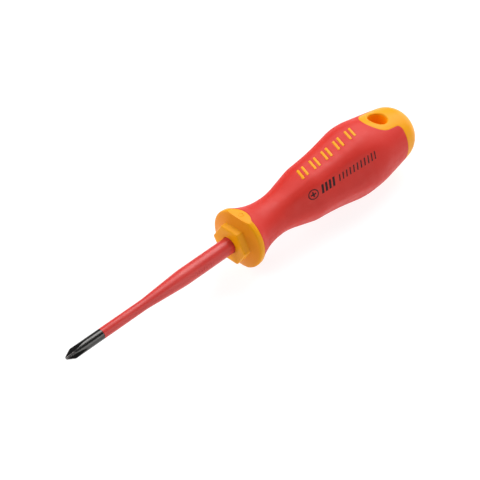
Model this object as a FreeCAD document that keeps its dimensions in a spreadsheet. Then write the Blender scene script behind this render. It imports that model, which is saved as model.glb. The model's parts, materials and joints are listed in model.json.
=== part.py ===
"""Insulated cross-head screwdriver with a two-material handle.

The blade is a steel bar in a thin moulded sleeve. Its tang sits in a hard core, the yellow handle body is
moulded round that core, and a red grip is moulded over the handle body.

Frame: millimetres, origin at the driver tip on the blade's axis, +X from the tip to the end of the handle,
+Z up through the hanging hole and one flat of the guard.
"""
import FreeCAD, Part
import Sketcher
import math
import os
import re

# Driving dimensions: millimetres, and degrees where the name ends in angle, slope or turn.
SIZES = {
    # Steel blade
    "tip_flat_radius": 0.6,
    "point_angle": 26.5,
    "blade_radius": 2.05,
    "tip_length": 16.0,
    "slim_radius": 1.5,
    "slim_end": 38.0,
    "shank_start": 56.0,
    "shank_radius": 2.25,
    "blade_end": 140.0,
    "tang_chamfer": 0.6,
    "flute_root": 0.48,
    "flute_cutter_radius": 23.0,
    "flute_turn": -7.0,
    "flute_depth": 3.0,
    "wing_start": 114.0,
    "wing_end": 132.0,
    "wing_span": 3.3,
    "wing_thickness": 1.6,
    # Insulation sleeve
    "taper_start": 36.5,
    "taper_end": 55.0,
    "sleeve_radius": 3.3,
    "collar_start": 95.0,
    "collar_end": 97.5,
    "collar_radius": 3.9,
    "sleeve_end": 100.0,
    # Tang core
    "core_start": 92.0,
    "core_end": 145.0,
    "core_apothem": 4.3,
    "core_groove_start": 136.0,
    "core_groove_end": 139.0,
    "core_groove_radius": 3.6,
    "lock_ring_root": 0.3,
    # Bolster and guard
    "bolster_start": 79.6,
    "bolster_apothem": 7.2,
    "bolster_rounding": 0.9,
    "bolster_edge": 0.45,
    "mouth_radius": 3.4,
    "mouth_depth": 0.3,
    "guard_foot": 82.1,
    "guard_foot_radius": 6.5,
    "guard_face_edge": 84.0,
    "guard_face_radius": 11.5,
    "guard_rim_start": 84.7,
    "guard_rim_end": 85.3,
    "guard_radius": 12.3,
    "guard_rim_bend": 0.9,
    "guard_back_bend": 2.2,
    "guard_flat_height": 11.0,
    "guard_flat_end": 91.0,
    "guard_tongue": 2.0,
    "guard_ring_centre": 86.3,
    "guard_ring_outside": 1.15,
    "guard_ring_inside": 0.75,
    "guard_ring_proud": 0.12,
    # Mark and hanging hole
    "mark_start": 117.8,
    "mark_group_pitch": 6.9,
    "mark_bar_pitch": 2.5,
    "mark_bar_width": 1.15,
    "mark_bar_lean": 1.7,
    "mark_half_height": 2.5,
    "mark_proud": 0.15,
    "boss_centre": 164.4,
    "boss_radius": 7.1,
    "boss_fillet": 2.1,
    "boss_tail": 0.4,
    "hole_centre": 165.1,
    "hole_radius": 4.0,
    "hole_rim": 0.9,
    # Width of the cut that makes a facet, and a distance from the axis that clears the whole handle
    "facet_cut_width": 16.5,
    "outside": 20.0,
}

GRIP_FRONT = 86.6
CAP_FRONT = 171.2
MARK_GROUPS = 5
MARK_BARS = 2
FACETS = 6
TOUCH = 0.01

# Rounded outlines along the handle: at each station the place along X and the slope of the outline there.
# Between two stations the outline is one arc, or a straight line where both slopes are the same.
CHAINS = {
    # Ridges between the facets, and the round neck and rear
    "ridge": {
        "start_radius": 12.1,
        "stations": {
            "front": (GRIP_FRONT, -29.7),
            "neck": (102.0, 0.0),
            "flare": (110.5, 14.2),
            "brow": (119.0, 14.2),
            "waist": (122.5, 4.5),
            "swell": (139.0, 10.2),
            "shoulder": (143.5, 10.2),
            "belly": (149.2, 0.0),
            "fall": (157.2, -9.0),
            "tail": (168.0, -9.0),
            "cap": (CAP_FRONT, -9.8),
            "brim": (174.5, -11.0),
            "crown": (180.2, -50.0),
        },
    },
    # Middle of each of the six finger facets
    "facet": {
        "start_radius": 8.0,
        "stations": {
            "neck": (103.0, 1.5),
            "flare": (111.0, 12.8),
            "brow": (119.5, 12.8),
            "waist": (122.5, 2.3),
            "swell": (139.0, 10.0),
            "shoulder": (145.5, 10.0),
            "belly": (151.5, 0.0),
            "end": (157.0, 0.0),
        },
    },
    # Yellow spine under the grip
    "spine": {
        "start_radius": 10.3,
        "stations": {
            "front": (GRIP_FRONT, -27.7),
            "neck": (102.0, 0.0),
            "flare": (110.0, 12.0),
            "brow": (119.0, 12.0),
            "belly": (147.0, 0.0),
            "fall": (155.0, -9.0),
            "rear": (CAP_FRONT, -9.0),
        },
    },
}


# Expressions -------------------------------------------------------------------------------------------

def bound(text):
    """Prefix each alias in an expression with the sheet that holds it."""
    def prefix(match):
        word = match.group()
        if word in SIZES:
            return "Sizes." + word
        if word in STATION_ALIASES:
            return "Stations." + word
        return word
    return re.sub(r"[a-z]\w*", prefix, str(text))


def station_names(chain):
    return list(CHAINS[chain]["stations"])


def at(chain, station):
    """Corner of an outline at a station: its place along X and its radius."""
    return f"{chain}_{station}_x", f"{chain}_{station}_radius"


def bend(chain, first, second):
    """Signed radius of the arc between two stations, or None where the outline runs straight."""
    stations = CHAINS[chain]["stations"]
    if stations[first][1] == stations[second][1]:
        return None
    ahead = f"{chain}_{second}_x - {chain}_{first}_x"
    return f"({ahead}) / (sin({chain}_{second}_slope) - sin({chain}_{first}_slope))"


def run(chain, first, last):
    """Corners of the outline from one station to another, with the bend that leaves each."""
    names = station_names(chain)
    part = names[names.index(first):names.index(last) + 1]
    corners = [(*at(chain, a), bend(chain, a, b)) for a, b in zip(part, part[1:])]
    return corners + [at(chain, last)]


def run_back(chain, first, last):
    """The same corners walked from the last station back to the first."""
    names = station_names(chain)
    part = names[names.index(first):names.index(last) + 1][::-1]
    corners = []
    for a, b in zip(part, part[1:]):
        forward = bend(chain, b, a)
        corners.append((*at(chain, a), forward and f"-{forward}"))
    return corners + [at(chain, first)]


STATION_ALIASES = {
    f"{chain}_{station}_{value}"
    for chain in CHAINS
    for station in CHAINS[chain]["stations"]
    for value in ("x", "slope", "radius")
} | {"handle_end"}


# Sheets ------------------------------------------------------------------------------------------------

def fill_sheet(doc, name, cells):
    sheet = doc.addObject("Spreadsheet::Sheet", name)
    for row, (alias, content) in enumerate(cells, start=1):
        sheet.set(f"A{row}", alias)
        sheet.set(f"B{row}", str(content))
        sheet.setAlias(f"B{row}", alias)
    return sheet


def station_cells():
    """Place, slope and radius of every station; each radius follows from the one before it."""
    cells = []
    for chain, content in CHAINS.items():
        before = None
        for station, (place, slope) in content["stations"].items():
            here = f"{chain}_{station}"
            cells.append((f"{here}_x", place))
            cells.append((f"{here}_slope", slope))
            if before is None:
                cells.append((f"{here}_radius", content["start_radius"]))
            else:
                step = f"({here}_x - {before}_x) * tan(({here}_slope + {before}_slope) / 2)"
                cells.append((f"{here}_radius", f"={before}_radius + {step}"))
            before = here
    crown_arc = "ridge_crown_radius / tan(45 - ridge_crown_slope / 2)"
    cells.append(("handle_end", f"=ridge_crown_x + {crown_arc}"))
    return cells


# Sketches ----------------------------------------------------------------------------------------------

def origin_feature(body, role):
    return next(part for part in body.Origin.OriginFeatures if part.Role == role)


def new_sketch(body, plane, name, offset=None):
    """Sketch on one of the body's own origin planes, or parallel to it at an offset along its normal."""
    sketch = body.newObject("Sketcher::SketchObject", name)
    sketch.AttachmentSupport = [(origin_feature(body, plane), "")]
    sketch.MapMode = "FlatFace"
    if offset is not None:
        sketch.setExpression("AttachmentOffset.Base.z", bound(offset))
    return sketch


def number(sketch, text):
    return float(sketch.evalExpression(bound(text)))


def fix(sketch, kind, places, text):
    """Add a constraint whose size is bound to an expression."""
    index = sketch.addConstraint(Sketcher.Constraint(kind, *places, number(sketch, text)))
    name = f"size{index}"
    sketch.renameConstraint(index, name)
    sketch.setExpression(f"Constraints.{name}", bound(text))


def circle_edge(start, end, radius):
    """Arc that turns left from start to end where its radius is positive, and right where it is negative."""
    chord = end.sub(start)
    left = FreeCAD.Vector(-chord.y, chord.x, 0).normalize()
    height = math.sqrt(radius ** 2 - (chord.Length / 2) ** 2)
    centre = start.add(chord.multiply(0.5)).add(left.multiply(math.copysign(height, radius)))
    angles = [math.atan2(point.y - centre.y, point.x - centre.x) for point in (start, end)]
    if radius < 0:
        angles.reverse()
    if angles[1] < angles[0]:
        angles[1] += 2 * math.pi
    circle = Part.Circle(centre, FreeCAD.Vector(0, 0, 1), abs(radius))
    return Part.ArcOfCircle(circle, *angles)


def draw(sketch, corners):
    """Draw one closed outline. A corner is (across, up), with the signed radius of the arc that leaves it."""
    corners = [(*corner, None)[:3] for corner in corners]
    points = [FreeCAD.Vector(number(sketch, x), number(sketch, y), 0) for x, y, _ in corners]
    ends = []
    for place, (_, _, radius) in enumerate(corners):
        start = points[place]
        end = points[(place + 1) % len(points)]
        if radius is None:
            edge = sketch.addGeometry(Part.LineSegment(start, end))
            ends.append((edge, 1, 2))
            continue
        size = number(sketch, radius)
        edge = sketch.addGeometry(circle_edge(start, end, size))
        ends.append((edge, 1, 2) if size > 0 else (edge, 2, 1))
        fix(sketch, "Radius", (edge,), f"abs({radius})")
    for place, (edge, _, last) in enumerate(ends):
        after, first, _ = ends[(place + 1) % len(ends)]
        sketch.addConstraint(Sketcher.Constraint("Coincident", edge, last, after, first))
    for (edge, first, _), (x, y, _) in zip(ends, corners):
        fix(sketch, "DistanceX", (-1, 1, edge, first), x)
        fix(sketch, "DistanceY", (-1, 1, edge, first), y)


def draw_circle(sketch, x, y, radius):
    centre = FreeCAD.Vector(number(sketch, x), number(sketch, y), 0)
    circle = Part.Circle(centre, FreeCAD.Vector(0, 0, 1), number(sketch, radius))
    edge = sketch.addGeometry(circle)
    fix(sketch, "Radius", (edge,), radius)
    fix(sketch, "DistanceX", (-1, 1, edge, 3), x)
    fix(sketch, "DistanceY", (-1, 1, edge, 3), y)


# Features ----------------------------------------------------------------------------------------------

def spin(body, kind, name, corners):
    """Revolution or Groove of an outline in the XZ plane, a full turn about the blade's axis."""
    sketch = new_sketch(body, "XZ_Plane", name + "_outline")
    draw(sketch, corners)
    feature = body.newObject("PartDesign::" + kind, name)
    feature.Profile = (sketch, [""])
    feature.ReferenceAxis = (origin_feature(body, "X_Axis"), [""])
    feature.Angle = 360
    return feature


def extrude(body, kind, name, sketch, length, symmetric=False, reverse=False):
    """Pad or Pocket of a sketch."""
    feature = body.newObject("PartDesign::" + kind, name)
    feature.Profile = (sketch, [""])
    feature.SideType = "Symmetric" if symmetric else "One side"
    feature.Reversed = reverse
    feature.setExpression("Length", bound(length))
    return feature


def pattern(body, feature, count):
    """Repeat a feature evenly about the blade's axis."""
    polar = body.newObject("PartDesign::PolarPattern", feature.Name + "_pattern")
    polar.Originals = [feature]
    polar.Axis = (origin_feature(body, "X_Axis"), [""])
    polar.Angle = 360
    polar.Occurrences = count
    body.Tip = polar
    return polar


def dress(body, kind, name, base, wanted, size):
    """Fillet or Chamfer on the edges of the last feature that a test picks out."""
    body.Document.recompute()
    edges = [f"Edge{i}" for i, edge in enumerate(base.Shape.Edges, start=1) if wanted(edge)]
    if not edges:
        raise RuntimeError(f"{name} found no edges")
    feature = body.newObject("PartDesign::" + kind, name)
    feature.Base = (base, edges)
    feature.setExpression("Radius" if kind == "Fillet" else "Size", bound(size))
    return feature


def hexagon(apothem):
    """Corners of a hexagon about the axis with two of its flats facing up and down."""
    corner = f"{apothem} / cos(30)"
    half = f"{apothem} * tan(30)"
    return [(corner, "0"), (half, apothem), (f"-{half}", apothem),
            (f"-{corner}", "0"), (f"-{half}", f"-{apothem}"), (half, f"-{apothem}")]


# Outlines that two pieces share ------------------------------------------------------------------------

def shank_hole():
    """Space that the steel shank and its sleeve fill inside the tang core."""
    return [("core_start - 1", "0"), ("core_start - 1", "sleeve_radius"), ("collar_start", "sleeve_radius"),
            ("collar_start", "collar_radius"), ("collar_end", "collar_radius"),
            ("collar_end", "sleeve_radius"), ("sleeve_end", "sleeve_radius"), ("sleeve_end", "shank_radius"),
            ("blade_end - tang_chamfer", "shank_radius"), ("blade_end", "shank_radius - tang_chamfer"),
            ("blade_end", "0")]


def wing_outline():
    """Plan of the two ears that are stamped out of the tang."""
    slope = "(wing_span - shank_radius)"
    return [("wing_start", "-shank_radius"), (f"wing_start + {slope}", "-wing_span"),
            (f"wing_end - {slope}", "-wing_span"), ("wing_end", "-shank_radius"),
            ("wing_end", "shank_radius"), (f"wing_end - {slope}", "wing_span"),
            (f"wing_start + {slope}", "wing_span"), ("wing_start", "shank_radius")]


def boss_outline(rear):
    """Plan of the yellow surround of the hanging hole, which flares into the end cap with two fillets."""
    out = "(boss_radius + boss_fillet)"
    near = "ridge_cap_x - boss_fillet"
    return [(rear, f"-{out}"), ("ridge_cap_x", f"-{out}", "boss_fillet"), (near, "-boss_radius"),
            ("boss_centre", "-boss_radius", "-boss_radius"), ("boss_centre - boss_radius", "0", "-boss_radius"),
            ("boss_centre", "boss_radius"), (near, "boss_radius", "boss_fillet"), ("ridge_cap_x", out), (rear, out)]


def tongue_outline():
    """Plan of the yellow tongue under each guard flat, which reaches back to where the flat leaves the grip."""
    half = "sqrt(ridge_front_radius ^ 2 - guard_flat_height ^ 2)"
    bow = f"(({half}) ^ 2 + guard_tongue ^ 2) / (2 * guard_tongue)"
    return [("guard_rim_end", f"-{half}"), ("ridge_front_x", f"-{half}", bow),
            ("ridge_front_x + guard_tongue", "0", bow), ("ridge_front_x", half), ("guard_rim_end", half)]


def draw_mark(sketch):
    """Plan of the raised mark: pairs of slim bars that lean forward."""
    for group in range(MARK_GROUPS):
        for bar in range(MARK_BARS):
            low = f"mark_start + {group} * mark_group_pitch + {bar} * mark_bar_pitch"
            high = f"{low} + mark_bar_lean"
            draw(sketch, [(low, "-mark_half_height"), (f"{low} + mark_bar_width", "-mark_half_height"),
                          (f"{high} + mark_bar_width", "mark_half_height"), (high, "mark_half_height")])


def above_facet(lift):
    """Side view of all that lies outside a facet, down to a lift above its surface."""
    low = [(x, f"{radius} + {lift}", *arc) for x, radius, *arc in run("facet", "neck", "end")]
    return low + [("facet_end_x", "outside"), ("facet_neck_x", "outside")]


# Pieces ------------------------------------------------------------------------------------------------

def new_body(doc, name):
    body = doc.addObject("PartDesign::Body", name)
    body.Label = name
    return body


def make_blade(doc):
    """Round steel bar with a cross-head point, a slimmed neck under the sleeve and a stamped tang."""
    body = new_body(doc, "blade")
    spin(body, "Revolution", "bar", [
        ("0", "0"), ("0", "tip_flat_radius"),
        ("(blade_radius - tip_flat_radius) / tan(point_angle)", "blade_radius"),
        ("tip_length", "blade_radius"), ("tip_length", "slim_radius"), ("slim_end", "slim_radius"),
        ("shank_start", "shank_radius"), ("blade_end - tang_chamfer", "shank_radius"),
        ("blade_end", "shank_radius - tang_chamfer"), ("blade_end", "0")])
    wings = new_sketch(body, "XY_Plane", "wing_outline")
    draw(wings, wing_outline())
    extrude(body, "Pad", "tang_wings", wings, "wing_thickness", symmetric=True)
    cut_flutes(body)
    return body


def cut_flutes(body):
    """Four V-shaped flutes, each milled by the rim of a wheel that stands over the point."""
    def turned(out, side):
        across = f"-({out}) * sin(flute_turn) + ({side}) * cos(flute_turn)"
        return across, f"({out}) * cos(flute_turn) + ({side}) * sin(flute_turn)"

    profile = new_sketch(body, "YZ_Plane", "flute_profile")
    deep = "flute_root + flute_depth"
    draw(profile, [turned("flute_root", "0"), turned(deep, "flute_depth"), turned(deep, "-flute_depth")])
    hub = "flute_root + flute_cutter_radius"
    ends = [turned(hub, side) for side in ("-flute_depth", "flute_depth")]
    points = [FreeCAD.Vector(number(profile, x), number(profile, y), 0) for x, y in ends]
    axis = profile.addGeometry(Part.LineSegment(*points), True)
    for place, (x, y) in enumerate(ends, start=1):
        fix(profile, "DistanceX", (-1, 1, axis, place), x)
        fix(profile, "DistanceY", (-1, 1, axis, place), y)
    flute = body.newObject("PartDesign::Groove", "flute")
    flute.Profile = (profile, [""])
    flute.ReferenceAxis = (profile, ["Axis0"])
    flute.Angle = 360
    pattern(body, flute, 4)


def make_insulation(doc):
    """Sleeve moulded on the blade: flush with the point, thicker past a taper, with a collar at its end."""
    body = new_body(doc, "blade_insulation")
    spin(body, "Revolution", "sleeve", [
        ("tip_length", "slim_radius"), ("tip_length", "blade_radius"), ("taper_start", "blade_radius"),
        ("taper_end", "sleeve_radius"), ("collar_start", "sleeve_radius"), ("collar_start", "collar_radius"),
        ("collar_end", "collar_radius"), ("collar_end", "sleeve_radius"), ("sleeve_end", "sleeve_radius"),
        ("sleeve_end", "shank_radius"), ("shank_start", "shank_radius"), ("slim_end", "slim_radius")])
    return body


def make_tang_core(doc):
    """Hard hexagonal core moulded round the tang and the end of the sleeve."""
    body = new_body(doc, "tang_core")
    section = new_sketch(body, "YZ_Plane", "core_section", "core_start")
    draw(section, hexagon("core_apothem"))
    extrude(body, "Pad", "core_bar", section, "core_end - core_start")
    spin(body, "Groove", "shank_hole", shank_hole())
    wings = new_sketch(body, "XY_Plane", "wing_slot_outline")
    draw(wings, wing_outline())
    extrude(body, "Pocket", "wing_slot", wings, "wing_thickness", symmetric=True)
    spin(body, "Groove", "lock_groove", [
        ("core_groove_start", "core_groove_radius"), ("core_groove_end", "core_groove_radius"),
        ("core_groove_end", "2 * core_apothem"), ("core_groove_start", "2 * core_apothem")])
    return body


def make_handle_body(doc):
    """Yellow moulding: hexagonal bolster, guard, spine under the grip, raised mark and end cap."""
    body = new_body(doc, "handle_body")
    guard = [("guard_foot", "0"), ("guard_foot", "guard_foot_radius"),
             ("guard_face_edge", "guard_face_radius", "-guard_rim_bend"),
             ("guard_rim_start", "guard_radius"), ("guard_rim_end", "guard_radius", "-guard_back_bend"),
             ("ridge_front_x", "ridge_front_radius")]
    spine = run("spine", "front", "rear")
    cap = run("ridge", "cap", "crown")
    cap[-1] = (*at("ridge", "crown"), "-ridge_crown_radius / cos(ridge_crown_slope)")
    spin(body, "Revolution", "core_shape", guard + spine + cap + [("handle_end", "0")])
    add_bolster(body)
    cut_guard_flats(body)
    add_tongues(body)
    add_hole_boss(body)
    add_mark(body)
    bore_for_blade(body)
    drill_hanging_hole(body)
    return body


def add_bolster(body):
    """Hexagon for a spanner in front of the guard, with soft edges."""
    section = new_sketch(body, "YZ_Plane", "bolster_section", "bolster_start")
    draw(section, hexagon("bolster_apothem"))
    pad = extrude(body, "Pad", "bolster", section, "guard_face_edge - bolster_start")
    front = SIZES["bolster_start"]
    corner = SIZES["bolster_apothem"] / math.cos(math.radians(30))

    def is_long_edge(edge):
        ends = [vertex.Point for vertex in edge.Vertexes]
        at_front = len(ends) == 2 and min(point.x for point in ends) < front + TOUCH
        on_corner = all(abs(math.hypot(point.y, point.z) - corner) < TOUCH for point in ends)
        return at_front and on_corner and abs(ends[0].x - ends[1].x) > 1

    def is_front_edge(edge):
        box = edge.BoundBox
        return abs(box.XMin - front) < TOUCH and abs(box.XMax - front) < TOUCH

    rounded = dress(body, "Fillet", "bolster_corners", pad, is_long_edge, "bolster_rounding")
    dress(body, "Fillet", "bolster_rim", rounded, is_front_edge, "bolster_edge")


def cut_guard_flats(body):
    """Two flats that keep the tool from rolling; they run a little way into the grip."""
    sketch = new_sketch(body, "XZ_Plane", "guard_flats_outline")
    for side in ("", "-"):
        near = f"{side}guard_flat_height"
        far = f"{side}outside"
        draw(sketch, [("bolster_start", near), ("guard_flat_end", near),
                      ("guard_flat_end", far), ("bolster_start", far)])
    extrude(body, "Pocket", "guard_flats", sketch, "2 * outside", symmetric=True)


def add_tongues(body):
    """Yellow tongues that carry the guard flats back into the grip, and a plain raised ring on the upper one."""
    sketch = new_sketch(body, "XY_Plane", "guard_tongue_plan")
    draw(sketch, tongue_outline())
    extrude(body, "Pad", "guard_tongues", sketch, "2 * guard_flat_height", symmetric=True)
    ring = new_sketch(body, "XY_Plane", "guard_ring_plan", "guard_flat_height")
    draw_circle(ring, "guard_ring_centre", "0", "guard_ring_outside")
    draw_circle(ring, "guard_ring_centre", "0", "guard_ring_inside")
    extrude(body, "Pad", "guard_ring", ring, "guard_ring_proud")


def add_hole_boss(body):
    """Surround of the hanging hole, brought down to the round outline of the grip."""
    sketch = new_sketch(body, "XY_Plane", "boss_plan")
    draw(sketch, boss_outline("ridge_cap_x + boss_tail"))
    extrude(body, "Pad", "boss", sketch, "2 * outside", symmetric=True)
    over = run("ridge", "belly", "brim")
    spin(body, "Groove", "boss_top", over + [("ridge_brim_x", "2 * outside"), ("ridge_belly_x", "2 * outside")])


def add_mark(body):
    """Bars that stand up from the spine through the grip."""
    sketch = new_sketch(body, "XY_Plane", "mark_plan")
    draw_mark(sketch)
    extrude(body, "Pad", "mark", sketch, "outside")
    top = new_sketch(body, "XZ_Plane", "mark_top_outline")
    draw(top, above_facet("mark_proud"))
    extrude(body, "Pocket", "mark_top", top, "2 * outside", symmetric=True)


def bore_for_blade(body):
    """Hole for the sleeve, and the space that the tang core fills."""
    spin(body, "Groove", "sleeve_hole", [
        ("bolster_start - 1", "0"), ("bolster_start - 1", "mouth_radius"),
        ("bolster_start + mouth_depth", "mouth_radius"),
        ("bolster_start + mouth_depth + mouth_radius - sleeve_radius", "sleeve_radius"),
        ("core_start", "sleeve_radius"), ("core_start", "0")])
    section = new_sketch(body, "YZ_Plane", "core_space_section", "core_start")
    draw(section, hexagon("core_apothem"))
    extrude(body, "Pocket", "core_space", section, "core_end - core_start", reverse=True)
    spin(body, "Revolution", "lock_ring", [
        ("core_groove_start", "core_groove_radius"), ("core_groove_end", "core_groove_radius"),
        ("core_groove_end", "core_apothem / cos(30) + lock_ring_root"),
        ("core_groove_start", "core_apothem / cos(30) + lock_ring_root")])


def drill_hanging_hole(body):
    """Cross hole through the surround, with rounded rims."""
    sketch = new_sketch(body, "XY_Plane", "hole_plan")
    draw_circle(sketch, "hole_centre", "0", "hole_radius")
    hole = extrude(body, "Pocket", "hanging_hole", sketch, "2 * outside", symmetric=True)

    def is_rim(edge):
        if edge.Degenerated:
            return False
        first, last = edge.ParameterRange
        points = [edge.valueAt(first + (last - first) * step / 4) for step in range(5)]
        reach = [math.hypot(point.x - SIZES["hole_centre"], point.y) for point in points]
        on_wall = all(abs(distance - SIZES["hole_radius"]) < TOUCH for distance in reach)
        outside = all(abs(point.z) > SIZES["hole_radius"] for point in points)
        return on_wall and outside

    dress(body, "Fillet", "hole_rim", hole, is_rim, "hole_rim")


def make_grip(doc):
    """Red moulding over the spine, with six finger facets and windows for the mark and the hole's surround."""
    body = new_body(doc, "grip")
    spin(body, "Revolution", "grip_shape", run("ridge", "front", "cap") + run_back("spine", "front", "rear"))
    cut_guard_flats(body)
    tongue = new_sketch(body, "XY_Plane", "tongue_window_plan")
    draw(tongue, tongue_outline())
    extrude(body, "Pocket", "tongue_windows", tongue, "2 * outside", symmetric=True)
    side = new_sketch(body, "XZ_Plane", "facet_outline")
    draw(side, above_facet("0"))
    facet = extrude(body, "Pocket", "facet", side, "facet_cut_width", symmetric=True)
    pattern(body, facet, FACETS)
    boss = new_sketch(body, "XY_Plane", "boss_window_plan")
    draw(boss, boss_outline("ridge_cap_x + boss_tail"))
    extrude(body, "Pocket", "boss_windows", boss, "2 * outside", symmetric=True)
    mark = new_sketch(body, "XY_Plane", "mark_window_plan")
    draw_mark(mark)
    extrude(body, "Pocket", "mark_windows", mark, "outside", reverse=True)
    return body


# Checks and output -------------------------------------------------------------------------------------

CUTS = ("PartDesign::Pocket", "PartDesign::Groove")


def check_features(doc):
    """Stop where an object has failed, or where a cut has taken nothing away."""
    for item in doc.Objects:
        if {"Invalid", "Error"} & set(item.State):
            raise RuntimeError(f"{item.Label} failed: {item.State}")
        if item.TypeId in CUTS:
            before = item.BaseFeature.Shape.Volume
            if item.Shape.Volume > before - TOUCH:
                raise RuntimeError(f"{item.Label} cuts nothing")


def check_shape(body):
    shape = body.Shape
    if shape.isNull() or not shape.isValid() or len(shape.Solids) != 1:
        raise RuntimeError(f"{body.Label} is not one valid solid")
    box = shape.optimalBoundingBox()
    print(f"{body.Label}: {shape.Volume:.0f} mm3, X {box.XMin:.2f} to {box.XMax:.2f},"
          f" Y {box.YMin:.2f} to {box.YMax:.2f}, Z {box.ZMin:.2f} to {box.ZMax:.2f}")


def main():
    doc = FreeCAD.newDocument("insulated_screwdriver")
    fill_sheet(doc, "Sizes", SIZES.items())
    fill_sheet(doc, "Stations", station_cells())
    doc.recompute()
    makers = (make_blade, make_insulation, make_tang_core, make_handle_body, make_grip)
    bodies = [make(doc) for make in makers]
    doc.recompute()
    check_features(doc)
    os.makedirs("parts", exist_ok=True)
    for body in bodies:
        check_shape(body)
        body.Shape.exportStep(f"parts/{body.Label}.step")


main()
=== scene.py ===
"""Looks of an insulated cross-head screwdriver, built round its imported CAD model.

Shapes are worked out in millimetres, in the CAD's own frame: +X runs along the blade's axis from the driver
tip, +Z goes up through the hanging hole. A point of a turned piece is (x, radius, angle), with the angle
measured from +Z towards -Y. Meshes are made in metres.
"""

import json
import math

import bmesh
import bpy
import numpy as np
from mathutils import Matrix, Vector
from mathutils.geometry import delaunay_2d_cdt
from mathutils.kdtree import KDTree


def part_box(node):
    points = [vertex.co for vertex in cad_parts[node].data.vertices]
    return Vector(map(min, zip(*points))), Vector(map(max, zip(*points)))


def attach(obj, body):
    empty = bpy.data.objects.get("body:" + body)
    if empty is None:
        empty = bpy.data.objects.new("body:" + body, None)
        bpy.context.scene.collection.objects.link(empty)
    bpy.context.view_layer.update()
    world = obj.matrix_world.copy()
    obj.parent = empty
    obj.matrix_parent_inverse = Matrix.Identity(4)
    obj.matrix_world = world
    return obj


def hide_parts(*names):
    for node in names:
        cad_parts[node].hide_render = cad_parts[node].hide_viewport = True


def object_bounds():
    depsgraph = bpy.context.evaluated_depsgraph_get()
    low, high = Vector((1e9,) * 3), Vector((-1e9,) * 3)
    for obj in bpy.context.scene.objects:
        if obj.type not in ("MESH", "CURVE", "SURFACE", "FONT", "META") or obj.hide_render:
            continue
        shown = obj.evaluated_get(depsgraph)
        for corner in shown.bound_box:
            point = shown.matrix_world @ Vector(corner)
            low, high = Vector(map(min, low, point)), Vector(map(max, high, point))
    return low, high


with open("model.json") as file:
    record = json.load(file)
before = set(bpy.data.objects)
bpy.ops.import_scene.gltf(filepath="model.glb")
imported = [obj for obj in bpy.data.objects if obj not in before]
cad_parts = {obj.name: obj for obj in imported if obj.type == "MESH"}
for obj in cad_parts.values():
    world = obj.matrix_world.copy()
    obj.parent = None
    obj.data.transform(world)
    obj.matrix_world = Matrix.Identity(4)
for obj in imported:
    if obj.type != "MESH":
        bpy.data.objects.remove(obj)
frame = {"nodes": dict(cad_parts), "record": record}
cad_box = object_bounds()

MM = 0.001
TURN = 2 * math.pi
QUARTER = math.pi / 2

# Sizes that the frame holds, in millimetres --------------------------------------------------------------


def extent(node, axis):
    """Lowest and highest place of a CAD part along one axis."""
    low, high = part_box(node)
    return low[axis] / MM, high[axis] / MM


GRIP_FRONT, GRIP_REAR = extent("grip", 0)
BOLSTER_FRONT = extent("handle_body", 0)[0]
CORE_FRONT, CORE_REAR = extent("tang_core", 0)
CORE_APOTHEM = extent("tang_core", 2)[1]
SLEEVE_FRONT, SLEEVE_REAR = extent("blade_insulation", 0)
COLLAR_RADIUS = extent("blade_insulation", 2)[1]
BLADE_END = extent("blade", 0)[1]
SHANK_RADIUS = extent("blade", 2)[1]
MOUNTS = {mount["name"]: mount for mount in frame["record"]["mounts"]}
HOLE_X = MOUNTS["hanging_hole"]["pos_m"][0] / MM
HOLE_RADIUS = MOUNTS["hanging_hole"]["dims"]["r_mm"]
FLAT_HEIGHT = -MOUNTS["guard_rest"]["pos_m"][2] / MM

# Outlines of the handle: the first radius, then stations with their place along X and the slope there in
# degrees. Between two stations the outline is one arc, or a straight line where both slopes are the same.

RIDGE = (12.1, [
    (GRIP_FRONT, -29.7), (102.0, 0.0), (110.5, 14.2), (119.0, 14.2), (122.5, 4.5), (139.0, 10.2),
    (143.5, 10.2), (149.2, 0.0), (157.2, -9.0), (168.0, -9.0), (GRIP_REAR, -9.8), (174.5, -11.0),
    (180.2, -50.0)])
FACET = (8.0, [
    (103.0, 1.5), (111.0, 12.8), (119.5, 12.8), (122.5, 2.3), (139.0, 10.0), (145.5, 10.0), (151.5, 0.0),
    (157.0, 0.0)])
SPINE = (10.3, [
    (GRIP_FRONT, -27.7), (102.0, 0.0), (110.0, 12.0), (119.0, 12.0), (147.0, 0.0), (155.0, -9.0),
    (GRIP_REAR, -9.0)])
FACETS = 6
FACET_BLEND = 0.6
FACET_RUN_OUT = 0.3
FLAT_BLEND = 0.2
FLAT_REACH = 3.0

# Seams and details on the handle
BRIM_X, CROWN_X = RIDGE[1][-2][0], RIDGE[1][-1][0]
SEAM_ROLL = 0.13
BOSS_CENTRE = 164.4
BOSS_RADIUS = 7.1
BOSS_FILLET = 2.1
HOLE_RIM = 0.9
MARK_START = 117.8
MARK_GROUPS, MARK_GROUP_PITCH = 5, 6.9
MARK_BARS, MARK_BAR_PITCH = 2, 2.5
BAR_WIDTH, BAR_LEAN, BAR_HALF_HEIGHT = 1.15, 1.7, 2.5
BAR_PROUD = 0.15
BAR_ROLL = 0.14
BAR_CORNER = 0.22

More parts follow.
